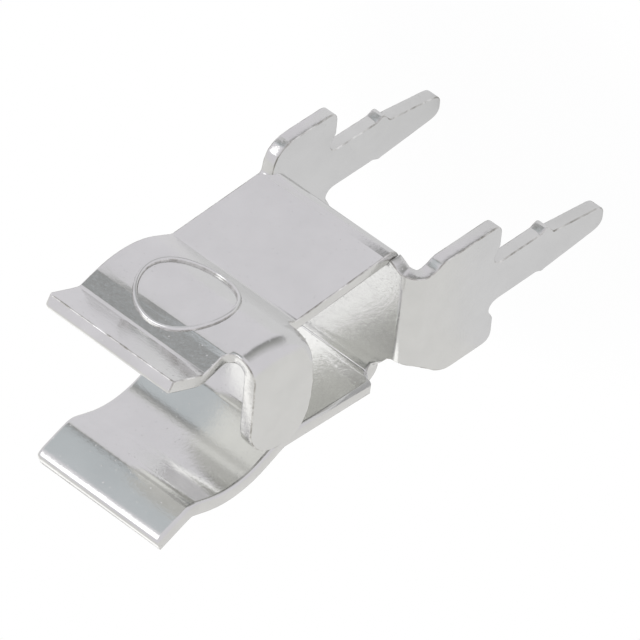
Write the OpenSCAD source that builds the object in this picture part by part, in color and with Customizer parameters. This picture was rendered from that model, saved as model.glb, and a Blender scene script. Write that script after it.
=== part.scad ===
// One-piece printed circuit board fuse clip, folded from a cross-shaped sheet blank.
// X runs along the fuse, Y across the jaws, Z up from the board. Millimetres.
// The board's top face is z = 0 and the origin is midway between the two pins.

/* [Sheet] */
// thickness of the plated sheet
sheet_t = 0.42; // [0.3:0.01:0.5]
// inside radius of the three kinds of square fold at the web
bend_r = 0.15; // [0.08:0.01:0.25]

/* [Jaws] */
// radius of the round seat that grips the fuse cap
jaw_r = 2.53; // [2.3:0.01:3.2]
// height of the fuse axis above the board
jaw_z = 9.03; // [8.6:0.01:11]
// width of both arms along the fuse
arm_w = 4.6; // [4:0.1:6]
// angle of round seat below the fuse axis
grip_low = 26; // [22:0.5:30]
// angle of round seat above the fuse axis
grip_high = 24.5; // [20:0.5:30]
// straight run from the round seat down to the crease
grip_run = 0.7; // [0.4:0.05:0.9]
// outside radius of the crease below the round seat
crease_r = 0.25; // [0.15:0.01:0.4]
// outside half width of the clip where the arms leave the web fold
arm_base = 2.49; // [2.35:0.01:2.8]
// outside radius of the throat between the seat and the lip
throat_r = 0.75; // [0.5:0.01:1]
// outward lean of the lead-in lip
lip_angle = 24.7; // [15:0.1:35]
// straight length of the lead-in lip
lip_len = 0.94; // [0.6:0.01:1.4]
// corner radius at both ends of each lip
lip_corner_r = 0.25; // [0.1:0.01:0.6]

/* [Web] */
// height of the web's underside above the board
web_z = 3.04; // [2.9:0.01:3.6]
// how far the corner relief cuts into an arm's edge beside the neck's wide side
relief_w = 0.18; // [0.08:0.01:0.22]
// how far the corner relief cuts into an arm's edge beside the neck's cut-back side
notch_w = 0.36; // [0.24:0.01:0.45]
// height of the corner relief above the web's top face
relief_h = 0.22; // [0.15:0.01:0.4]
// half width of the neck on its wide side
neck_wide = 2.14; // [2.02:0.01:2.2]
// half width of the neck on its cut-back side
neck_narrow = 1.06; // [0.9:0.01:1.15]

/* [Wings] */
// distance between the wings' outside faces
wing_span = 6.52; // [6.3:0.01:8]
// width of each wing across its shoulders
shoulder_w = 4.24; // [4:0.01:4.8]
// height of the shoulder on the neck's wide side
shoulder_h = 2.36; // [2.1:0.01:2.5]
// radius of the outer corners that stand on the board
foot_r = 0.28; // [0.1:0.01:0.4]
// inner end of the flat that stands on the board, from the pin's middle
foot_in = 1.32; // [1.2:0.01:1.4]
// height of the hollow between the flat and the pin
root_rise = 0.19; // [0.08:0.01:0.3]

/* [Pins] */
// width of each solder pin at its root
pin_w = 1.38; // [1:0.01:1.5]
// length of each pin below the board's top face
pin_len = 4.33; // [3.4:0.01:6]
// width of each pin where its rounded tip starts
pin_tip_w = 0.8; // [0.5:0.01:0.95]
// length of the rounded tip
pin_tip_len = 0.32; // [0.2:0.01:0.5]
// depth of the retaining barbs below the board's top face
barb_z = 1.95; // [1.5:0.01:2.4]
// how far each barb stands out of the pin's edge
barb_h = 0.1; // [0.04:0.01:0.2]
// sideways step of both pin tips below the barbs
pin_step = 0.13; // [0:0.01:0.16]

/* [End stop] */
// reach of the stop's outside face past the arm's edge
stop_out = 0.96; // [0.8:0.01:1.4]
// inside radius of the stop's fold
stop_bend_r = 0.23; // [0.12:0.01:0.3]
// front edge of the stop above the fuse axis
stop_front = 0.58; // [0.3:0.01:0.9]
// back edge of the stop below the fuse axis
stop_back = 1.76; // [1.5:0.01:2]
// how far the stop reaches past the fuse axis
stop_drop = 0.7; // [0.2:0.01:1.2]
// fillet between the stop's front edge and the arm's edge
stop_fillet = 0.36; // [0.1:0.01:0.45]

/* [Mark] */
// outside radius of the plain raised ring on the arm
mark_r = 1.45; // [0.8:0.01:1.5]
// width of the ring's line
mark_w = 0.14; // [0.08:0.01:0.3]
// height of the ring above the arm's face
mark_h = 0.06; // [0.03:0.01:0.12]
// ring's middle below the fuse axis
mark_low = 0.17; // [0:0.01:0.25]

/* [Hidden] */
$fn = 96;
// the straight runs lie this far inside the round seat, so that they cross it cleanly
tuck = 0.006;
outer_r = jaw_r + sheet_t;
fold_r = bend_r + sheet_t;
stop_fold_r = stop_bend_r + sheet_t;
half_w = arm_w / 2;
web_top = web_z + sheet_t;
jaw_c = [0, jaw_z];
fold_y = arm_base - fold_r;
fold_z = web_z + fold_r;
wing_x = wing_span / 2;
fold_x = wing_x - fold_r;
stop_x = half_w + stop_out;
// middle of the stop's fold, in radius and X, and where the arm's tongue ends inside that fold
stop_c = [outer_r - stop_fold_r + tuck, stop_x - stop_fold_r];
stop_root = stop_c[1] + sqrt(2 * tuck) * (sqrt(stop_bend_r) + sqrt(stop_fold_r)) / 2;
stop_tilt = acos(1 - tuck * (1 / stop_fold_r + 1 / stop_bend_r) / 2);
relief_x = half_w - relief_w;
notch_x = half_w - notch_w;
half_sh = shoulder_w / 2;
half_pin = pin_w / 2;
half_tip = pin_tip_w / 2;

function polar(c, r, a) = [c[0] + r * cos(a), c[1] + r * sin(a)];
function arc(c, r, a0, a1, n) = [for (i = [0:n]) polar(c, r, a0 + (a1 - a0) * i / n)];

// crease below the round seat: its middle lies outside the arm
seat_low = polar(jaw_c, outer_r - tuck, -grip_low);
run_end = [seat_low[0] - grip_run * sin(grip_low), seat_low[1] - grip_run * cos(grip_low)];
crease_c = [run_end[0] + crease_r * cos(grip_low), run_end[1] - crease_r * sin(grip_low)];
// the flat of the arm runs from the web fold to a tangent of the crease
flat_d = [crease_c[0] - arm_base, crease_c[1] - fold_z];
arm_lean = asin(crease_r / norm(flat_d)) - atan2(flat_d[0], flat_d[1]);
// throat above the round seat, and the lip that leaves it
seat_high = polar(jaw_c, outer_r - tuck, grip_high);
throat_c = [seat_high[0] + throat_r * cos(grip_high), seat_high[1] + throat_r * sin(grip_high)];
lip_from = polar(throat_c, throat_r, 180 - lip_angle);
lip_from_in = polar(throat_c, throat_r + sheet_t, 180 - lip_angle);
lip_dir = [sin(lip_angle), cos(lip_angle)];

// a flat outline in Y and Z, drawn out along X from x0 to x1
module along_x(x0, x1) {
  translate([x0, 0, 0])
    rotate([90, 0, 90])
      linear_extrude(x1 - x0)
        children();
}

// a flat outline in X and Z, drawn out along Y from y0 to y1
module along_y(y0, y1) {
  translate([0, y1, 0])
    rotate([90, 0, 0])
      linear_extrude(y1 - y0)
        children();
}

// a quarter of the ring between two radii, in the quadrant to the right and below
module fold_section(inside, outside) {
  intersection() {
    difference() {
      circle(outside);
      circle(inside);
    }
    translate([0, -outside - 1])
      square(outside + 1);
  }
}

// section of one arm from its web fold to its lip
module arm_section() {
  translate([fold_y - 0.5, web_z])
    square([0.5, sheet_t]);
  translate([fold_y, fold_z])
    fold_section(bend_r, fold_r);
  difference() {
    union() {
      polygon(concat(
        [[arm_base, fold_z]],
        arc(crease_c, crease_r, 180 + arm_lean, 180 - grip_low, 6),
        [seat_low, seat_high],
        arc(throat_c, throat_r, 180 + grip_high, 180 - lip_angle, 10),
        [lip_from + lip_len * lip_dir, lip_from_in + lip_len * lip_dir],
        arc(throat_c, throat_r + sheet_t, 180 - lip_angle, 180 + grip_high, 10),
        [polar(jaw_c, jaw_r - tuck, -grip_low)],
        arc(crease_c, crease_r + sheet_t, 180 - grip_low, 180 + arm_lean, 6),
        [[arm_base - sheet_t, fold_z]]
      ));
      intersection() {
        translate(jaw_c)
          circle(outer_r);
        polygon([
          polar(jaw_c, jaw_r - 0.1, -grip_low - 6),
          polar(jaw_c, outer_r * 1.3, -grip_low - 6),
          polar(jaw_c, outer_r * 1.3, grip_high + 4),
          polar(jaw_c, jaw_r - 0.1, grip_high + 4)
        ]);
      }
    }
    translate(jaw_c)
      circle(jaw_r);
  }
}

// what one corner of a lip loses, in the lip's own plane
module lip_corner() {
  c = [half_w - lip_corner_r, lip_len - lip_corner_r];
  polygon(concat(
    arc(c, lip_corner_r, 0, 90, 6),
    [[c[0], lip_len + 1], [half_w + 1, lip_len + 1], [half_w + 1, c[1]]]
  ));
}

// what one foot of an arm loses beside the neck
module foot_relief(cut) {
  polygon(concat(
    [[half_w - cut, web_z - 0.5]],
    arc([half_w, web_top + relief_h - cut], cut, 180, 90, 5),
    [[half_w + 1, web_top + relief_h], [half_w + 1, web_z - 0.5]]
  ));
}

// what is cut away beside the tongue that carries the end stop, with a fillet at its front
module beside_tongue() {
  difference() {
    along_x(half_w, stop_root + 1)
      difference() {
        translate([-1, web_z - 1])
          square([outer_r + 4, jaw_z + outer_r + lip_len]);
        stop_outline();
      }
    along_y(-1, outer_r + 1)
      polygon(concat(
        [[half_w - 0.2, jaw_z + stop_front - 0.2], [half_w + stop_fillet, jaw_z + stop_front - 0.2]],
        arc([half_w + stop_fillet, jaw_z + stop_front + stop_fillet], stop_fillet, 270, 180, 6),
        [[half_w - 0.2, jaw_z + stop_front + stop_fillet]]
      ));
  }
}

// one arm, bent up from the web, with both corners of the lip and both feet cut
module arm(has_stop) {
  difference() {
    along_x(-half_w, has_stop ? stop_root : half_w)
      arm_section();
    if (has_stop)
      beside_tongue();
    for (side = [0, 1])
      mirror([side, 0, 0])
        translate([0, lip_from[0], lip_from[1]])
          rotate([-lip_angle, 0, 0])
            along_y(-2, 2)
              lip_corner();
    along_y(fold_y - 0.2, arm_base + 1)
      foot_relief(relief_w);
    mirror([1, 0, 0])
      along_y(fold_y - 0.2, arm_base + 1)
        foot_relief(notch_w);
  }
}

// plan of the web and of half of each neck
module web_plan() {
  side = [
    [relief_x, fold_y],
    [relief_x, neck_wide + 0.17],
    [relief_x + 0.18, neck_wide + 0.12],
    [relief_x + 0.36, neck_wide + 0.03],
    [fold_x, neck_wide],
    [fold_x, -neck_narrow],
    [fold_x - 0.14, -neck_narrow - 0.12],
    [fold_x - 0.28, -neck_narrow - 0.3],
    [fold_x - 0.46, -neck_narrow - 0.54],
    [notch_x + 0.06, -neck_narrow - 0.72],
    [notch_x, -fold_y]
  ];
  polygon(concat(side, [for (p = side) -p]));
}

// half of the outline of a wing's foot, pin and barb, from the shoulder to the pin's tip
// with the pin's tip moved sideways by step
function foot_edge(step) = concat(
  arc([half_sh - foot_r, foot_r], foot_r, 0, -90, 5),
  [
    [foot_in, 0],
    [foot_in - 0.16, root_rise * 0.45],
    [foot_in - 0.3, root_rise * 0.93],
    [foot_in - 0.4, root_rise],
    [half_pin + 0.12, root_rise * 0.78],
    [half_pin + 0.04, root_rise * 0.3],
    [half_pin, -0.08],
    [half_pin - 0.01, -barb_z + 0.28],
    [half_pin + barb_h, -barb_z + 0.04],
    [half_pin + barb_h - 0.03, -barb_z - 0.06],
    [half_pin - 0.08 + step, -barb_z - 0.3],
    [half_tip + step, -pin_len + pin_tip_len],
    [half_tip * 0.88 + step, -pin_len + pin_tip_len * 0.5],
    [half_tip * 0.66 + step, -pin_len + pin_tip_len * 0.17],
    [half_tip * 0.36 + step, -pin_len]
  ]
);

// edge of a wing from its shoulder to the cut-back side of its neck, square or sloping
function narrow_edge(square_cut) = square_cut ? [
    [half_sh, shoulder_h - 0.76],
    [half_sh - 0.02, shoulder_h - 0.5],
    [half_sh - 0.1, shoulder_h - 0.24],
    [half_sh - 0.26, shoulder_h - 0.02],
    [half_sh - 0.54, shoulder_h + 0.11],
    [neck_narrow + 0.18, shoulder_h + 0.17],
    [neck_narrow + 0.05, shoulder_h + 0.28],
    [neck_narrow, shoulder_h + 0.48],
    [neck_narrow, web_top + 1]
  ] : [
    [half_sh, shoulder_h - 0.76],
    [half_sh - 0.03, shoulder_h - 0.54],
    [half_sh - 0.12, shoulder_h - 0.32],
    [half_sh - 0.26, shoulder_h - 0.08],
    [half_sh - 0.45, shoulder_h + 0.14],
    [neck_narrow + 0.36, web_top - 0.64],
    [neck_narrow + 0.14, web_top - 0.42],
    [neck_narrow + 0.03, web_top - 0.2],
    [neck_narrow, web_top],
    [neck_narrow, web_top + 1]
  ];

// outline of one wing in Y and Z, wide neck on its +Y side
module wing_outline(square_cut, step) {
  foot = foot_edge(step);
  other = foot_edge(-step);
  n = len(foot) - 1;
  polygon(concat(
    [
      [neck_wide, web_top + 1],
      [neck_wide, web_top],
      [neck_wide - 0.09, web_top - 0.2],
      [neck_wide - 0.17, web_top - 0.45],
      [neck_wide - 0.19, web_top - 0.66],
      [neck_wide - 0.15, shoulder_h + 0.28],
      [half_sh - 0.11, shoulder_h + 0.15],
      [half_sh - 0.03, shoulder_h + 0.05],
      [half_sh, shoulder_h - 0.1]
    ],
    foot,
    [for (i = [n:-1:0]) [-other[i][0], other[i][1]]],
    [for (p = narrow_edge(square_cut)) [-p[0], p[1]]]
  ));
}

// one wing: the fold from the web, the shoulders and the pin
module wing(square_cut, step) {
  intersection() {
    along_y(-half_sh - 1, half_sh + 1)
      union() {
        translate([fold_x - 0.3, web_z])
          square([0.3, sheet_t]);
        translate([fold_x, web_z - bend_r])
          mirror([0, 1])
            fold_section(bend_r, fold_r);
        translate([wing_x - sheet_t, -pin_len - 1])
          square([sheet_t, pin_len + 1 + web_z - bend_r]);
      }
    along_x(0, wing_x + 1)
      wing_outline(square_cut, step);
  }
}

// outline of the end stop in Y and Z, measured from the fuse axis
module stop_outline() {
  translate(jaw_c)
    polygon([
      [outer_r + 1, stop_front],
      [1.05 - stop_drop, stop_front],
      [0.75 - stop_drop, stop_front - 0.09],
      [0.46 - stop_drop, stop_front - 0.28],
      [0.24 - stop_drop, stop_front - 0.52],
      [0.09 - stop_drop, stop_front - 0.8],
      [0.01 - stop_drop, stop_front - 1.1],
      [-stop_drop, 0.75 - stop_back],
      [0.06 - stop_drop, 0.52 - stop_back],
      [0.26 - stop_drop, 0.31 - stop_back],
      [0.66 - stop_drop, 0.11 - stop_back],
      [1.15 - stop_drop, 0.02 - stop_back],
      [1.6 - stop_drop, -stop_back],
      [2.1 - stop_drop, 0.04 - stop_back],
      [2.5 - stop_drop, 0.12 - stop_back],
      [2.9 - stop_drop, 0.23 - stop_back],
      [outer_r + 1, 0.4 - stop_back]
    ]);
}

// a section in radius and X, turned about the fuse axis
module about_fuse() {
  translate([0, 0, jaw_z])
    rotate([0, 90, 0])
      rotate_extrude()
        children();
}

// end stop: folds square from the arm's tongue across the fuse's end
module end_stop() {
  intersection() {
    about_fuse() {
      intersection() {
        translate(stop_c)
          difference() {
            circle(stop_fold_r);
            circle(stop_bend_r);
          }
        polygon([
          stop_c,
          polar(stop_c, 2, -stop_tilt),
          polar(stop_c, 3, 40),
          polar(stop_c, 2, 90)
        ]);
      }
      translate([0, stop_x - sheet_t])
        square([stop_c[0], sheet_t]);
    }
    along_x(0, stop_x + 1)
      stop_outline();
  }
}

// plain raised ring on the outside of the arm that carries the stop
module mark() {
  intersection() {
    along_y(1, outer_r + 1)
      translate([0, jaw_z - mark_low])
        difference() {
          circle(mark_r);
          circle(mark_r - mark_w);
        }
    along_x(-mark_r - 1, mark_r + 1)
      translate(jaw_c)
        difference() {
          circle(outer_r + mark_h);
          circle(outer_r - sheet_t / 3);
        }
  }
}

module fuse_clip() {
  color([0.78, 0.78, 0.79])
    union() {
      translate([0, 0, web_z])
        linear_extrude(sheet_t)
          web_plan();
      arm(true);
      rotate([0, 0, 180])
        arm(false);
      wing(false, -pin_step);
      rotate([0, 0, 180])
        wing(true, pin_step);
      end_stop();
      mark();
    }
}

fuse_clip();
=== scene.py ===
import bmesh
import bpy
import math
from mathutils import Matrix
from mathutils import Vector


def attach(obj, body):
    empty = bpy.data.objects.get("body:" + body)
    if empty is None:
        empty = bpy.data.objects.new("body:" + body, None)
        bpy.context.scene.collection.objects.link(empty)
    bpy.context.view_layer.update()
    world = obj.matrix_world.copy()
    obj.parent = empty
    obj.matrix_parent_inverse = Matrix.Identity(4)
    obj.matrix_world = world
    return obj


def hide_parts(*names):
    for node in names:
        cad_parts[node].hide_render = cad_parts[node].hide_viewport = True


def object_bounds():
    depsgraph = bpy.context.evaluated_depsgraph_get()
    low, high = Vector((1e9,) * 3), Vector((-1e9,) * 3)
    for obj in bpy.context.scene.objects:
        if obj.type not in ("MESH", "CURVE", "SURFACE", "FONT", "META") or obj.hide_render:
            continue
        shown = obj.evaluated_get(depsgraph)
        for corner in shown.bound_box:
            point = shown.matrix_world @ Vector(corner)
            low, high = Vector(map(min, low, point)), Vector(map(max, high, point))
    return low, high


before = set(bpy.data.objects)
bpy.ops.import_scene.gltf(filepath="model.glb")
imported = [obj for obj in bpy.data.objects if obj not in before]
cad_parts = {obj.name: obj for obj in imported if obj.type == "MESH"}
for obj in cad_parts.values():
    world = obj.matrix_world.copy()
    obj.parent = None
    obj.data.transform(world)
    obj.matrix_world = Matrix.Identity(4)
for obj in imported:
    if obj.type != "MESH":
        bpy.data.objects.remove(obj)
cad_low, cad_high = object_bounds()

# Camera
# A long lens looks down on the clip from its end-stop corner, rolled so that the clip lies on its side.
# The three rows are the picture's right, up and backward directions.
CAMERA_RIGHT = (0.72217199, 0.06990718, -0.68817193)
CAMERA_UP = (-0.50690338, 0.73042125, -0.45774858)
CAMERA_BACK = (0.47065549, 0.67940988, 0.56292595)
CAMERA_PLACE = (0.10222699, 0.14598963, 0.12560758)
CAMERA_LENS = 451.7
CAMERA_SENSOR = 36.0
CAMERA_NEAR = 0.01
CAMERA_FAR = 5.0

camera_data = bpy.data.cameras.new("camera")
camera_data.lens = CAMERA_LENS
camera_data.sensor_width = CAMERA_SENSOR
camera_data.clip_start = CAMERA_NEAR
camera_data.clip_end = CAMERA_FAR
camera = bpy.data.objects.new("camera", camera_data)
camera_turn = Matrix((CAMERA_RIGHT, CAMERA_UP, CAMERA_BACK)).transposed()
camera.matrix_world = Matrix.Translation(CAMERA_PLACE) @ camera_turn.to_4x4()
bpy.context.scene.collection.objects.link(camera)
bpy.context.scene.camera = camera

# Clip
# One strip of spring metal, 0.42 mm thick, stamped to a cross and folded: two arms up from the web to grip
# the fuse, a wing with a solder pin down at each end, and a stop folded off one jaw. The sheet's middle
# surface is folded here row by row, in millimetres, then given its thickness and its stamped edges.
MILLIMETRE = 0.001
SHEET = 0.42
HALF_SHEET = SHEET / 2

# Web: the plain floor of the clip, with a slit beside each wide neck and a slope beside each narrow one.
# The list is the outline of one half as (x, y), and the other half is the same after a half turn.
WEB_UNDER = 3.04
WEB_MID = WEB_UNDER + HALF_SHEET
web_side = [
    (2.29, 2.036),
    (2.30, 2.05),
    (2.30, 2.26),
    (2.38, 2.23),
    (2.48, 2.17),
    (2.69, 2.14),
    (2.69, -1.06),
    (2.55, -1.18),
    (2.41, -1.36),
    (2.23, -1.60),
    (2.04, -1.76),
    (1.94, -2.036),
]
NECK = 5

sheet = bmesh.new()
web = []
for x, y in web_side:
    web.append(sheet.verts.new((x, y, WEB_MID)))
for x, y in web_side:
    web.append(sheet.verts.new((-x, -y, WEB_MID)))
sheet.faces.new(web)

# Arms: the fold up from the web, a leaning flat, the crease, the round jaw, the throat and the lip. Seen
# from its own side, each arm's right foot runs straight down and its left foot has a round notch. Places
# are (y, z), turns are in degrees, and the jaw's rows are close together where the stop's fillet ends.
ARM_HALF = 2.30
ARM_FOLD = (2.036, 3.50)
ARM_LEAN = 2.98
FOOT_INSET = 0.01
NOTCH = 0.36
NOTCH_TOP = 3.68
FOOT_HEIGHTS = (3.65, 3.67, NOTCH_TOP)
CREASE = (2.564, 7.000)
CREASE_RADIUS = 0.46
CREASE_TURN = -28.98
JAW_RADIUS = 2.53
JAW_MID = JAW_RADIUS + HALF_SHEET
JAW_HEIGHT = 9.03
JAW_LOW = -26.0
JAW_STEPS = (4.5, 4.5, 4.5, 4.5, 4.5, 4.5, 4.5, 4.5, 4.12, 1.03, 1.25, 1.26, 1.04)
JAW_TOP = 18.7
JAW_RUN = 0.554
THROAT = (2.8062, 10.5647)
THROAT_TURN = -39.2
LIP_LEAN = 23.6
LIP_ROWS = ((20.5, 0.163), (22.0, 0.20), (23.2, 0.537), (LIP_LEAN, 0.30))
LIP_CORNER = 0.15
STOP_BACK_RUN = 0.356
STOP_BACK_ROUND = 0.08
STOP_FRONT_TURN = 12.22
STOP_FILLET = 0.31
FILLET_MIDDLE = STOP_FILLET * (1 - math.sqrt(0.5))
NEAR_ENOUGH = 0.001


def next_row(work, row):
    """Draws a row of points out into one more row, joined to it by faces."""
    edges = []
    for a, b in zip(row, row[1:]):
        edges.append(work.edges.get((a, b)))
    made = bmesh.ops.extrude_edge_only(work, edges=edges)
    fresh = set()
    for item in made["geom"]:
        if isinstance(item, bmesh.types.BMVert):
            fresh.add(item)
    following = []
    for vert in row:
        for edge in vert.link_edges:
            if edge.other_vert(vert) in fresh:
                following.append(edge.other_vert(vert))
    return following


def run_straight(work, row, step):
    """Draws the sheet straight out."""
    row = next_row(work, row)
    bmesh.ops.translate(work, verts=row, vec=step)
    return row


def fold(work, row, centre, axis, degrees, steps):
    """Folds the sheet round an axis and gives every row that it passes."""
    rows = []
    turn = Matrix.Rotation(math.radians(degrees / steps), 3, axis)
    for _ in range(steps):
        row = next_row(work, row)
        bmesh.ops.rotate(work, verts=row, cent=centre, matrix=turn)
        rows.append(row)
    return rows


def round_corners(work, corners, radius, steps):
    """Rounds corners of the sheet's outline."""
    bmesh.ops.bevel(
        work,
        geom=corners,
        offset=radius,
        offset_type="OFFSET",
        segments=steps,
        profile=0.5,
        affect="VERTICES",
        clamp_overlap=True,
        material=-1,
    )


def notch_edge(height):
    """Half width of an arm's foot on the side of its notch, which ends in a round."""
    up = height - (NOTCH_TOP - NOTCH)
    if up <= 0:
        return ARM_HALF - NOTCH
    if up >= NOTCH:
        return ARM_HALF
    return ARM_HALF - math.sqrt(NOTCH ** 2 - up ** 2)


def fillet_edge(past):
    """How far the edge stands out at that distance past the side that the stop's fillet runs into."""
    return STOP_FILLET - math.sqrt(STOP_FILLET ** 2 - (STOP_FILLET - past) ** 2)


for side, start in ((1, 0), (-1, len(web_side))):
    row = [web[start - 1], web[start]]
    foot = (0, side * ARM_FOLD[0], ARM_FOLD[1])
    rows = fold(sheet, row, foot, "X", side * (90 + ARM_LEAN), steps=10)
    lean = math.radians(ARM_LEAN)
    for height in FOOT_HEIGHTS:
        rise = height - rows[-1][0].co.z
        rows.append(run_straight(sheet, rows[-1], (0, -side * rise * math.tan(lean), rise)))
    for left, right in rows:
        left.co.x = -side * notch_edge(left.co.z)
        right.co.x = side * (ARM_HALF - FOOT_INSET)
    crease_start = CREASE[1] - CREASE_RADIUS * math.sin(lean)
    rise = crease_start - rows[-1][0].co.z
    row = run_straight(sheet, rows[-1], (0, -side * rise * math.tan(lean), rise))
    row[1].co.x = side * ARM_HALF
    crease = (0, side * CREASE[0], CREASE[1])
    row = fold(sheet, row, crease, "X", side * CREASE_TURN, steps=8)[-1]
    jaw_low = math.radians(JAW_LOW)
    run_y = JAW_MID * math.cos(jaw_low) - abs(row[0].co.y)
    run_z = JAW_HEIGHT + JAW_MID * math.sin(jaw_low) - row[0].co.z
    run = math.hypot(run_y, run_z)
    seat = []
    for length in (run - STOP_BACK_RUN - STOP_BACK_ROUND, STOP_BACK_ROUND, STOP_BACK_RUN):
        row = run_straight(sheet, row, (0, side * run_y * length / run, run_z * length / run))
        seat.append(row)
    for degrees in JAW_STEPS:
        row = fold(sheet, row, (0, 0, JAW_HEIGHT), "X", side * degrees, steps=1)[-1]
        seat.append(row)
    if side == 1:
        tongue = []
        for _, right in seat[1:]:
            turn = math.atan2(right.co.z - JAW_HEIGHT, right.co.y)
            past = (turn - math.radians(STOP_FRONT_TURN)) * JAW_MID
            if past < FILLET_MIDDLE + NEAR_ENOUGH:
                right.co.x = ARM_HALF + FILLET_MIDDLE
                tongue.append(right)
            elif past < STOP_FILLET:
                right.co.x = ARM_HALF + fillet_edge(past)
    top = math.radians(JAW_TOP)
    row = run_straight(sheet, row, (0, -side * JAW_RUN * math.sin(top), JAW_RUN * math.cos(top)))
    throat = (0, side * THROAT[0], THROAT[1])
    row = fold(sheet, row, throat, "X", side * THROAT_TURN, steps=12)[-1]
    for degrees, length in LIP_ROWS:
        lean = math.radians(degrees)
        row = run_straight(sheet, row, (0, side * length * math.sin(lean), length * math.cos(lean)))
    lip_end = row[0].co.copy()
    far_corner = min(row, key=lambda vert: vert.co.x)
    round_corners(sheet, [far_corner], LIP_CORNER, steps=6)

# Wings: each folds down from its neck into a flat with two shoulders, two feet and a barbed pin. The lists
# are half outlines as (distance from the wing's middle, z). The pin stands a little off the middle and leans.
WING_OUT = 3.26
WING_MID = WING_OUT - HALF_SHEET
WING_FOLD = (2.69, 2.89)
WING_FLAT_TOP = WING_FOLD[1] - 0.03
PIN_STEP = 0.13
PIN_DRIFT = 0.026
CORNER_ROUND = 0.035
wide_side = [
    (2.14, 3.46),
    (2.05, 3.26),
    (1.97, 3.01),
    (1.95, 2.80),
    (1.98, 2.62),
    (2.03, 2.49),
    (2.09, 2.39),
    (2.12, 2.24),
]
sloping_side = [
    (1.06, 3.46),
    (1.09, 3.26),
    (1.20, 3.04),
    (1.42, 2.82),
    (1.67, 2.50),
    (1.86, 2.28),
    (2.00, 2.04),
    (2.09, 1.82),
    (2.12, 1.60),
]
square_side = [
    (1.06, 3.46),
    (1.06, 2.84),
    (1.11, 2.65),
    (1.24, 2.53),
    (1.58, 2.47),
    (1.84, 2.35),
    (2.02, 2.12),
    (2.10, 1.86),
    (2.12, 1.60),
]
foot_side = [
    (2.12, 0.28),
    (2.083, 0.14),
    (1.98, 0.037),
    (1.84, 0.0),
    (1.32, 0.0),
    (1.16, 0.086),
    (1.02, 0.177),
    (0.92, 0.19),
    (0.81, 0.148),
    (0.73, 0.057),
    (0.69, -0.08),
    (0.68, -1.67),
    (0.79, -1.91),
    (0.76, -2.01),
]
pin_side = [
    (0.61, -2.25),
    (0.40, -4.01),
    (0.352, -4.17),
    (0.264, -4.276),
    (0.144, -4.33),
]


def along(points, place):
    """The first value of a list of pairs, at a place along the second, which falls."""
    for (a, from_place), (b, to_place) in zip(points, points[1:]):
        if to_place <= place <= from_place:
            return a + (b - a) * (from_place - place) / (from_place - to_place)
    return points[0][0] if place > points[0][1] else points[-1][0]


def pin_middle(side, height):
    """Where the middle of a pin lies on its wing at that height."""
    return -side * (PIN_STEP + PIN_DRIFT * (pin_side[0][1] - height))


soft_corners = []
for side, start, narrow_side in ((1, 0, sloping_side), (-1, len(web_side), square_side)):
    row = [web[start + NECK], web[start + NECK + 1]]
    rows = fold(sheet, row, (side * WING_FOLD[0], 0, WING_FOLD[1]), "Y", side * 90, steps=8)
    for wide, narrow in [row] + rows:
        wide.co.y = side * along(wide_side, wide.co.z)
        narrow.co.y = -side * along(narrow_side, narrow.co.z)
    outline = []
    for y, z in wide_side:
        if z < WING_FLAT_TOP:
            outline.append((y, z))
    outline.extend(foot_side)
    for y, z in pin_side:
        outline.append((pin_middle(side, z) + y, z))
    for y, z in reversed(pin_side):
        outline.append((pin_middle(side, z) - y, z))
    for y, z in reversed(foot_side):
        outline.append((-y, z))
    for y, z in reversed(narrow_side):
        if z < WING_FLAT_TOP:
            outline.append((-y, z))
    wing = [rows[-1][1], rows[-1][0]]
    for y, z in outline:
        wing.append(sheet.verts.new((side * WING_MID, side * y, z)))
    sheet.faces.new(wing)
    soft_corners.extend(wing[2:])

# End stop: a tongue on the jaw's edge, folded square across the end of the fuse, filleted at its front.
# The list is the plate's free outline as (y, height over the middle of the jaw).
STOP_REACHES = (0.13, 0.19, 0.25, STOP_FILLET)
STOP_ROOT = ARM_HALF + STOP_FILLET
STOP_FOLD_MID = 0.44
STOP_FOLD_STEPS = 8
STOP_FRONT = 0.58
STOP_BACK = -1.521
STOP_FLARE = 0.16
stop_outline = [
    (0.35, 0.58),
    (0.05, 0.49),
    (-0.24, 0.30),
    (-0.46, 0.06),
    (-0.61, -0.22),
    (-0.69, -0.52),
    (-0.70, -1.01),
    (-0.64, -1.24),
    (-0.44, -1.45),
    (-0.04, -1.65),
    (0.45, -1.74),
    (0.90, -1.76),
]

row = tongue
for reach in STOP_REACHES:
    row = run_straight(sheet, row, (ARM_HALF + reach - row[0].co.x, 0, 0))
    front = math.radians(STOP_FRONT_TURN) + fillet_edge(reach) / JAW_MID
    row[-1].co.y = JAW_MID * math.cos(front)
    row[-1].co.z = JAW_HEIGHT + JAW_MID * math.sin(front)
turns = []
for vert in row:
    turns.append(math.atan2(vert.co.z - JAW_HEIGHT, vert.co.y))
shares = []
for turn in turns:
    shares.append((turn - turns[0]) / (turns[-1] - turns[0]))
for step in range(1, STOP_FOLD_STEPS + 1):
    row = next_row(sheet, row)
    angle = math.radians(90 * step / STOP_FOLD_STEPS)
    radius = JAW_MID - STOP_FOLD_MID * (1 - math.cos(angle))
    front = math.asin(STOP_FRONT / radius)
    back = math.asin((STOP_BACK - STOP_FLARE * (1 - math.cos(angle))) / radius)
    for vert, share in zip(row, shares):
        turn = back + (front - back) * share
        vert.co.x = STOP_ROOT + STOP_FOLD_MID * math.sin(angle)
        vert.co.y = radius * math.cos(turn)
        vert.co.z = JAW_HEIGHT + radius * math.sin(turn)
plate = list(row)
for y, z in stop_outline:
    plate.append(sheet.verts.new((WING_MID, y, JAW_HEIGHT + z)))
sheet.faces.new(plate)
soft_corners.extend(plate[len(row) + 1:-1])
round_corners(sheet, soft_corners, CORNER_ROUND, steps=2)

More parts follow.
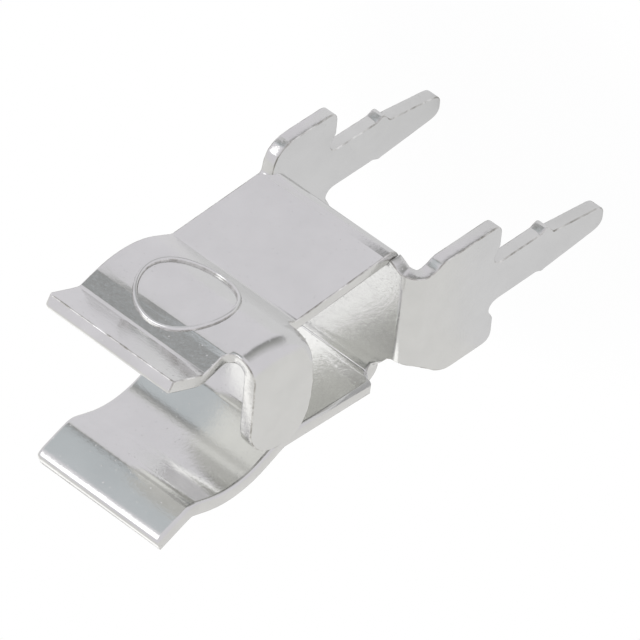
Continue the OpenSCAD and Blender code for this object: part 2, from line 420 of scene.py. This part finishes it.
# Thickness: the folded surface becomes a sheet. Its three slots are the side that faces the fuse, the cut
# edge and the other side. The last takes the first one's finish; its slot goes to painted edge shade and
# glints.
FUSE_SIDE = 0
CUT_EDGE = 1
OTHER_SIDE = 2
# Slot 2 is reused for the lines of painted shade and glints along the square edges and the ring's feet.
PAINTED_EDGE_SHADE = 2

bmesh.ops.recalc_face_normals(sheet, faces=sheet.faces)
bmesh.ops.scale(sheet, vec=(MILLIMETRE, MILLIMETRE, MILLIMETRE), verts=sheet.verts)
for face in sheet.faces:
    face.smooth = True
folded_mesh = bpy.data.meshes.new("folded_sheet")
sheet.to_mesh(folded_mesh)
sheet.free()
folded = bpy.data.objects.new("folded_sheet", folded_mesh)
bpy.context.scene.collection.objects.link(folded)
thickness = folded.modifiers.new("sheet_thickness", "SOLIDIFY")
thickness.thickness = SHEET * MILLIMETRE
thickness.offset = 0.0
thickness.use_even_offset = True
thickness.use_quality_normals = True
thickness.use_rim = True
thickness.material_offset_rim = CUT_EDGE
thickness.material_offset = OTHER_SIDE
tin = bpy.data.materials.new("tin_plate")
cut_tin = bpy.data.materials.new("tin_on_cut_edge")
folded_mesh.materials.append(tin)
folded_mesh.materials.append(cut_tin)
folded_mesh.materials.append(tin)
thick = folded.evaluated_get(bpy.context.evaluated_depsgraph_get())
clip_mesh = bpy.data.meshes.new_from_object(thick)
clip_mesh.name = "tinned_clip"
bpy.data.objects.remove(folded)
bpy.data.meshes.remove(folded_mesh)

# Edges: the die rolls the edge over on the side that faces the fuse, most of all on the arms. The wings'
# edges and those of the other side stay nearly square and carry a thin line of painted shade and glints. The
# slits stay sharp. The lower lip is eased on its fuse side, and the upper lip's end is cut at a slight slant.
SHARP = math.radians(40)
ARM_ROLL = 0.12
STOP_ROLL = 0.05
ROLL_CHANGE = (2.35, 2.80)
SQUARE_EDGE = 0.035
WING_START = ARM_HALF + 0.01
SLIT_X = (2.1, 2.32)
SLIT_Y = (1.88, 2.3)
SLIT_LEVEL = 0.02
LIP_EASE_RUN = 0.30
LIP_EASE_DEPTH = 0.075
LIP_SLANT = 0.045

whole = bmesh.new()
whole.from_mesh(clip_mesh)
rolled = whole.edges.layers.float.new("rolled_edge")
square = whole.edges.layers.float.new("square_edge")
for edge in whole.edges:
    if not edge.is_manifold or edge.calc_face_angle() <= SHARP:
        continue
    middle = (edge.verts[0].co + edge.verts[1].co) / (2 * MILLIMETRE)
    on_slit_side = middle.x * middle.y > 0
    in_slit_x = SLIT_X[0] < abs(middle.x) < SLIT_X[1]
    in_slit_y = SLIT_Y[0] < abs(middle.y) < SLIT_Y[1]
    on_web_face = abs(abs(middle.z - WEB_MID) - HALF_SHEET) < SLIT_LEVEL
    if on_slit_side and in_slit_x and in_slit_y and on_web_face:
        continue
    slots = {edge.link_faces[0].material_index, edge.link_faces[1].material_index}
    on_wing = abs(middle.x) > WING_START and middle.z < NOTCH_TOP
    if slots == {CUT_EDGE, FUSE_SIDE} and not on_wing:
        share = (abs(middle.x) - ROLL_CHANGE[0]) / (ROLL_CHANGE[1] - ROLL_CHANGE[0])
        share = min(max(share, 0.0), 1.0)
        edge[rolled] = (ARM_ROLL + (STOP_ROLL - ARM_ROLL) * share) / ARM_ROLL
    else:
        edge[square] = 1.0
lip_turn = math.radians(LIP_LEAN)
lip_inward = Vector((0.0, math.cos(lip_turn), math.sin(lip_turn)))
lip_backward = Vector((0.0, math.sin(lip_turn), -math.cos(lip_turn)))
upper_lip_outward = Vector((0.0, math.sin(lip_turn), math.cos(lip_turn)))
for vert in whole.verts:
    place = Vector((vert.co.x, -abs(vert.co.y), vert.co.z)) / MILLIMETRE
    from_end = place - lip_end
    back = from_end.dot(lip_backward)
    if back < LIP_EASE_RUN and from_end.dot(lip_inward) > 0:
        near_end = (1 - max(back, 0.0) / LIP_EASE_RUN) * MILLIMETRE
        if vert.co.y < 0:
            vert.co -= lip_inward * LIP_EASE_DEPTH * near_end
        else:
            vert.co += upper_lip_outward * LIP_SLANT * near_end
for face in whole.faces:
    if face.material_index == OTHER_SIDE:
        face.material_index = FUSE_SIDE

# Ring: a plain round line pressed up on the jaw that carries the stop, with painted shade and glints at its
# feet. The list is its section as (distance from the middle of the line, height over the jaw).
RING_RADIUS = 1.38
RING_DOWN = 0.17
RING_STEPS = 96
RING_SHADED_FOOT = 0.05
JAW_OUT = JAW_RADIUS + SHEET
ring_section = [
    (-0.072, -0.05),
    (-0.072, 0.0),
    (-0.055, 0.05),
    (-0.028, 0.086),
    (0.0, 0.096),
    (0.028, 0.086),
    (0.055, 0.05),
    (0.072, 0.0),
    (0.072, -0.05),
]

pressed = bmesh.new()
section = []
for out, rise in ring_section:
    section.append(pressed.verts.new((RING_RADIUS + out, rise, 0)))
for a, b in zip(section, section[1:] + section[:1]):
    pressed.edges.new((a, b))
bmesh.ops.spin(
    pressed,
    geom=pressed.verts[:] + pressed.edges[:],
    cent=(0, 0, 0),
    axis=(0, 1, 0),
    angle=math.radians(360),
    steps=RING_STEPS,
    use_merge=True,
    use_duplicate=False,
)
bmesh.ops.recalc_face_normals(pressed, faces=pressed.faces)
for face in pressed.faces:
    face.smooth = True
    # The faces at the ring's feet take the painted shade and glints.
    if 0.0 < face.calc_center_median().y < RING_SHADED_FOOT:
        face.material_index = PAINTED_EDGE_SHADE
jaw_low = math.radians(JAW_LOW)
seat_end = JAW_OUT * math.sin(jaw_low)
for vert in pressed.verts:
    up = vert.co.z - RING_DOWN
    vert.co.y += math.sqrt(JAW_OUT ** 2 - max(up, seat_end) ** 2)
    vert.co.y -= min(up - seat_end, 0) * math.tan(jaw_low)
    vert.co.z = JAW_HEIGHT + up
bmesh.ops.scale(pressed, vec=(MILLIMETRE, MILLIMETRE, MILLIMETRE), verts=pressed.verts)
ring_mesh = bpy.data.meshes.new("ring")
pressed.to_mesh(ring_mesh)
pressed.free()
whole.from_mesh(ring_mesh)
whole.to_mesh(clip_mesh)
whole.free()
bpy.data.meshes.remove(ring_mesh)

clip = bpy.data.objects.new("tinned_clip", clip_mesh)
bpy.context.scene.collection.objects.link(clip)
# Painted shade and glints: a dark-and-bright mottle for the square edges' bevels and the ring's feet.
edge_shade_tin = bpy.data.materials.new("painted_edge_shade_and_glints")
clip_mesh.materials[PAINTED_EDGE_SHADE] = edge_shade_tin
# The square edges' bevels take the painted shade and glints.
for name, width, steps, slot in (
    ("rolled_edge", ARM_ROLL, 4, -1),
    ("square_edge", SQUARE_EDGE, 2, PAINTED_EDGE_SHADE),
):
    rounding = clip.modifiers.new(name, "BEVEL")
    rounding.width = width * MILLIMETRE
    rounding.segments = steps
    rounding.profile = 0.5
    rounding.limit_method = "WEIGHT"
    rounding.edge_weight = name
    rounding.material = slot
    rounding.use_clamp_overlap = False
normals = clip.modifiers.new("flat_faces_stay_flat", "WEIGHTED_NORMAL")
normals.weight = 80
normals.keep_sharp = False

# Finish: bright tin, plated after stamping. The sheet's faces are satin with a fine grain, faint clouds and
# small beads. The cut edges keep the tears of the stamping under the plating, and along the square edges a
# thin broken line of dark and bright metal is painted shade and glints.
BEADS_PER_METRE = 5500.0
BEAD_EDGE = 0.12
BEAD_TOP = 0.02
BEAD_HEIGHT = 0.000005
NOISE_LEAST = 0.3
NOISE_MOST = 0.7


def plate_finish(material, colour, cloud_size, gloss, grain_size, grain_depth):
    """Fills a material with tin plate: colour and gloss are (least, most) of their noise."""
    material.use_nodes = True
    nodes = material.node_tree.nodes
    links = material.node_tree.links
    shader = nodes["Principled BSDF"]
    shader.inputs["Metallic"].default_value = 1.0
    place = nodes.new("ShaderNodeTexCoord")
    clouds = nodes.new("ShaderNodeTexNoise")
    clouds.inputs["Scale"].default_value = 1.0 / cloud_size
    clouds.inputs["Detail"].default_value = 4.0
    clouds.inputs["Roughness"].default_value = 0.6
    links.new(place.outputs["Object"], clouds.inputs["Vector"])
    grain = nodes.new("ShaderNodeTexNoise")
    grain.inputs["Scale"].default_value = 1.0 / grain_size
    grain.inputs["Detail"].default_value = 3.0
    grain.inputs["Roughness"].default_value = 0.65
    links.new(place.outputs["Object"], grain.inputs["Vector"])
    tint = nodes.new("ShaderNodeValToRGB")
    tint.color_ramp.elements[0].position = NOISE_LEAST
    tint.color_ramp.elements[0].color = colour[0]
    tint.color_ramp.elements[1].position = NOISE_MOST
    tint.color_ramp.elements[1].color = colour[1]
    links.new(clouds.outputs["Fac"], tint.inputs["Fac"])
    links.new(tint.outputs["Color"], shader.inputs["Base Color"])
    satin = nodes.new("ShaderNodeMapRange")
    satin.inputs["From Min"].default_value = NOISE_LEAST
    satin.inputs["From Max"].default_value = NOISE_MOST
    satin.inputs["To Min"].default_value = gloss[0]
    satin.inputs["To Max"].default_value = gloss[1]
    links.new(grain.outputs["Fac"], satin.inputs["Value"])
    links.new(satin.outputs["Result"], shader.inputs["Roughness"])
    bump = nodes.new("ShaderNodeBump")
    bump.inputs["Strength"].default_value = 1.0
    bump.inputs["Distance"].default_value = grain_depth
    links.new(grain.outputs["Fac"], bump.inputs["Height"])
    beads = nodes.new("ShaderNodeTexVoronoi")
    beads.inputs["Scale"].default_value = BEADS_PER_METRE
    links.new(place.outputs["Object"], beads.inputs["Vector"])
    bead = nodes.new("ShaderNodeMapRange")
    bead.interpolation_type = "SMOOTHSTEP"
    bead.inputs["From Min"].default_value = BEAD_EDGE
    bead.inputs["From Max"].default_value = BEAD_TOP
    links.new(beads.outputs["Distance"], bead.inputs["Value"])
    bead_bump = nodes.new("ShaderNodeBump")
    bead_bump.inputs["Strength"].default_value = 1.0
    bead_bump.inputs["Distance"].default_value = BEAD_HEIGHT
    links.new(bead.outputs["Result"], bead_bump.inputs["Height"])
    links.new(bump.outputs["Normal"], bead_bump.inputs["Normal"])
    links.new(bead_bump.outputs["Normal"], shader.inputs["Normal"])


plate_finish(
    tin,
    colour=((0.682, 0.684, 0.669, 1.0), (0.72, 0.722, 0.706, 1.0)),
    cloud_size=0.0011,
    gloss=(0.11, 0.18),
    grain_size=0.0001,
    grain_depth=0.000003,
)
plate_finish(
    cut_tin,
    colour=((0.67, 0.67, 0.655, 1.0), (0.73, 0.73, 0.715, 1.0)),
    cloud_size=0.0011,
    gloss=(0.12, 0.24),
    grain_size=0.00014,
    grain_depth=0.000006,
)
# Painted edge shade and glints: the dark end of the mottle stands for shade, the bright end for glints.
plate_finish(
    edge_shade_tin,
    colour=((0.27, 0.26, 0.23, 1.0), (0.92, 0.92, 0.90, 1.0)),
    cloud_size=0.0004,
    gloss=(0.15, 0.30),
    grain_size=0.00014,
    grain_depth=0.000006,
)

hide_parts("fuse_clip")
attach(clip, "root")

# Floor
# A plain white table top just under the pin tips, 16 mm square. The camera sees it as white with a trace of
# the pins' shadow, which fades out before the rim, and the metal sees about half of that white.
FLOOR_HALF = 0.008
FLOOR_SHADED = 0.0045
FLOOR_GAP = 0.00002
FLOOR_HEIGHT = cad_low.z - FLOOR_GAP
FLOOR_KEEP_WHITE = 0.97
FLOOR_IN_METAL = 0.52

floor_mesh = bpy.data.meshes.new("floor")
table = bmesh.new()
bmesh.ops.create_grid(table, x_segments=1, y_segments=1, size=FLOOR_HALF)
bmesh.ops.translate(table, verts=table.verts, vec=(0.0, 0.0, FLOOR_HEIGHT))
table.to_mesh(floor_mesh)
table.free()
floor = bpy.data.objects.new("floor", floor_mesh)
bpy.context.scene.collection.objects.link(floor)

white = bpy.data.materials.new("white_table")
white.use_nodes = True
nodes = white.node_tree.nodes
links = white.node_tree.links
nodes.clear()
rays = nodes.new("ShaderNodeLightPath")
seen = nodes.new("ShaderNodeMath")
seen.operation = "MAXIMUM"
links.new(rays.outputs["Is Glossy Ray"], seen.inputs[0])
links.new(rays.outputs["Is Transmission Ray"], seen.inputs[1])
through = nodes.new("ShaderNodeMath")
through.operation = "MULTIPLY_ADD"
through.inputs[1].default_value = FLOOR_IN_METAL
links.new(seen.outputs[0], through.inputs[0])
links.new(rays.outputs["Is Camera Ray"], through.inputs[2])
spot = nodes.new("ShaderNodeTexCoord")
reach = nodes.new("ShaderNodeVectorMath")
reach.operation = "LENGTH"
links.new(spot.outputs["Object"], reach.inputs[0])
keep = nodes.new("ShaderNodeMapRange")
keep.interpolation_type = "SMOOTHSTEP"
keep.inputs["From Min"].default_value = math.hypot(FLOOR_SHADED, FLOOR_HEIGHT)
keep.inputs["From Max"].default_value = math.hypot(FLOOR_HALF, FLOOR_HEIGHT)
keep.inputs["To Min"].default_value = FLOOR_KEEP_WHITE
keep.inputs["To Max"].default_value = 1.0
links.new(reach.outputs["Value"], keep.inputs["Value"])
white_share = nodes.new("ShaderNodeMath")
white_share.operation = "MULTIPLY"
links.new(through.outputs[0], white_share.inputs[0])
links.new(keep.outputs["Result"], white_share.inputs[1])
matt = nodes.new("ShaderNodeBsdfDiffuse")
matt.inputs["Color"].default_value = (0.72, 0.72, 0.75, 1.0)
glow = nodes.new("ShaderNodeEmission")
glow.inputs["Color"].default_value = (1.0, 1.0, 1.0, 1.0)
glow.inputs["Strength"].default_value = 1.0
both = nodes.new("ShaderNodeMixShader")
links.new(white_share.outputs[0], both.inputs["Fac"])
links.new(matt.outputs[0], both.inputs[1])
links.new(glow.outputs[0], both.inputs[2])
surface = nodes.new("ShaderNodeOutputMaterial")
links.new(both.outputs[0], surface.inputs["Surface"])
floor_mesh.materials.append(white)

# Light
# A white studio, faintly blue in front of the clip and faintly yellow behind it. The metal also sees a grey
# band along the left wall, darkest at the clip's own height, and a darker gap low in front. One soft box
# stands high on the left and a larger one low behind. The camera sees plain white paper.
FRONT_WHITE = (0.985, 0.964, 1.02, 1.0)
BACK_WHITE = (0.996, 0.985, 0.978, 1.0)
ROOM_STRENGTH = 0.85
LEFT_WALL = (-0.47, 0.88, 0.0)

world = bpy.data.worlds.new("white_studio")
bpy.context.scene.world = world
world.use_nodes = True
nodes = world.node_tree.nodes
links = world.node_tree.links
nodes.clear()


def smooth_share(value, none, full):
    """Goes smoothly from 0 where a value is none to 1 where it is full."""
    share = nodes.new("ShaderNodeMapRange")
    share.interpolation_type = "SMOOTHSTEP"
    share.inputs["From Min"].default_value = none
    share.inputs["From Max"].default_value = full
    links.new(value, share.inputs["Value"])
    return share.outputs["Result"]


def studio_ramp(value, lowest, highest, ends, greys):
    """Colours a value between lowest and highest: white outside the two ends and greys between them."""
    level = nodes.new("ShaderNodeMapRange")
    level.inputs["From Min"].default_value = lowest
    level.inputs["From Max"].default_value = highest
    links.new(value, level.inputs["Value"])
    ramp = nodes.new("ShaderNodeValToRGB")
    ramp.color_ramp.elements[0].position = ends[0]
    ramp.color_ramp.elements[0].color = FRONT_WHITE
    ramp.color_ramp.elements[1].position = ends[1]
    ramp.color_ramp.elements[1].color = FRONT_WHITE
    for position, grey in greys:
        ramp.color_ramp.elements.new(position).color = grey
    links.new(level.outputs["Result"], ramp.inputs["Fac"])
    return ramp.outputs["Color"]


def mix_colours(share):
    """A mix of two colours by a share of the second."""
    mix = nodes.new("ShaderNodeMix")
    mix.data_type = "RGBA"
    links.new(share, mix.inputs["Factor"])
    return mix


place = nodes.new("ShaderNodeTexCoord")
direction = nodes.new("ShaderNodeSeparateXYZ")
links.new(place.outputs["Generated"], direction.inputs[0])
toward_left = nodes.new("ShaderNodeVectorMath")
toward_left.operation = "DOT_PRODUCT"
toward_left.inputs[1].default_value = LEFT_WALL
links.new(place.outputs["Generated"], toward_left.inputs[0])

whites = mix_colours(smooth_share(direction.outputs["Y"], none=-0.20, full=0.05))
whites.inputs["A"].default_value = BACK_WHITE
whites.inputs["B"].default_value = FRONT_WHITE
left_wall = studio_ramp(
    direction.outputs["Z"],
    lowest=-0.4,
    highest=0.6,
    ends=(0.20, 0.78),
    greys=(
        (0.25, (0.86, 0.86, 0.86, 1.0)),
        (0.30, (0.58, 0.58, 0.58, 1.0)),
        (0.35, (0.38, 0.38, 0.38, 1.0)),
        (0.38, (0.34, 0.34, 0.34, 1.0)),
        (0.43, (0.73, 0.77, 0.81, 1.0)),
        (0.66, (0.75, 0.79, 0.83, 1.0)),
    ),
)
walls = mix_colours(smooth_share(toward_left.outputs["Value"], none=0.90, full=0.96))
links.new(whites.outputs["Result"], walls.inputs["A"])
links.new(left_wall, walls.inputs["B"])
front_gap = studio_ramp(
    direction.outputs["X"],
    lowest=-1.0,
    highest=1.0,
    ends=(0.36, 0.75),
    greys=(
        (0.42, (0.36, 0.36, 0.36, 1.0)),
        (0.55, (0.55, 0.55, 0.55, 1.0)),
    ),
)
low_in_front = nodes.new("ShaderNodeMath")
low_in_front.operation = "MULTIPLY"
low = smooth_share(direction.outputs["Z"], none=-0.15, full=-0.30)
in_front = smooth_share(direction.outputs["Y"], none=0.15, full=0.55)
links.new(low, low_in_front.inputs[0])
links.new(in_front, low_in_front.inputs[1])
studio = mix_colours(low_in_front.outputs[0])
links.new(walls.outputs["Result"], studio.inputs["A"])
links.new(front_gap, studio.inputs["B"])
room = nodes.new("ShaderNodeBackground")
room.inputs["Strength"].default_value = ROOM_STRENGTH
links.new(studio.outputs["Result"], room.inputs["Color"])
paper = nodes.new("ShaderNodeBackground")
paper.inputs["Color"].default_value = (1.0, 1.0, 1.0, 1.0)
paper.inputs["Strength"].default_value = 1.0
rays = nodes.new("ShaderNodeLightPath")
both = nodes.new("ShaderNodeMixShader")
links.new(rays.outputs["Is Camera Ray"], both.inputs["Fac"])
links.new(room.outputs[0], both.inputs[1])
links.new(paper.outputs[0], both.inputs[2])
surface = nodes.new("ShaderNodeOutputWorld")
links.new(both.outputs[0], surface.inputs["Surface"])

LAMP_TARGET = Vector((0.0, 0.0, 0.005))
LAMP_DISTANCE = 0.5


def soft_box(name, direction, size, power):
    """A square lamp in that direction from the clip, facing it."""
    data = bpy.data.lights.new(name, "AREA")
    data.shape = "SQUARE"
    data.size = size
    data.energy = power
    lamp = bpy.data.objects.new(name, data)
    toward = Vector(direction).normalized()
    lamp.location = LAMP_TARGET + toward * LAMP_DISTANCE
    lamp.rotation_mode = "QUATERNION"
    lamp.rotation_quaternion = toward.to_track_quat("Z", "Y")
    bpy.context.scene.collection.objects.link(lamp)


soft_box("left_soft_box", (-0.47, 0.58, 0.66), size=0.25, power=0.21)
soft_box("low_fill_box", (-0.47, -0.80, 0.20), size=0.45, power=0.30)

bpy.context.scene.view_settings.view_transform = "Standard"
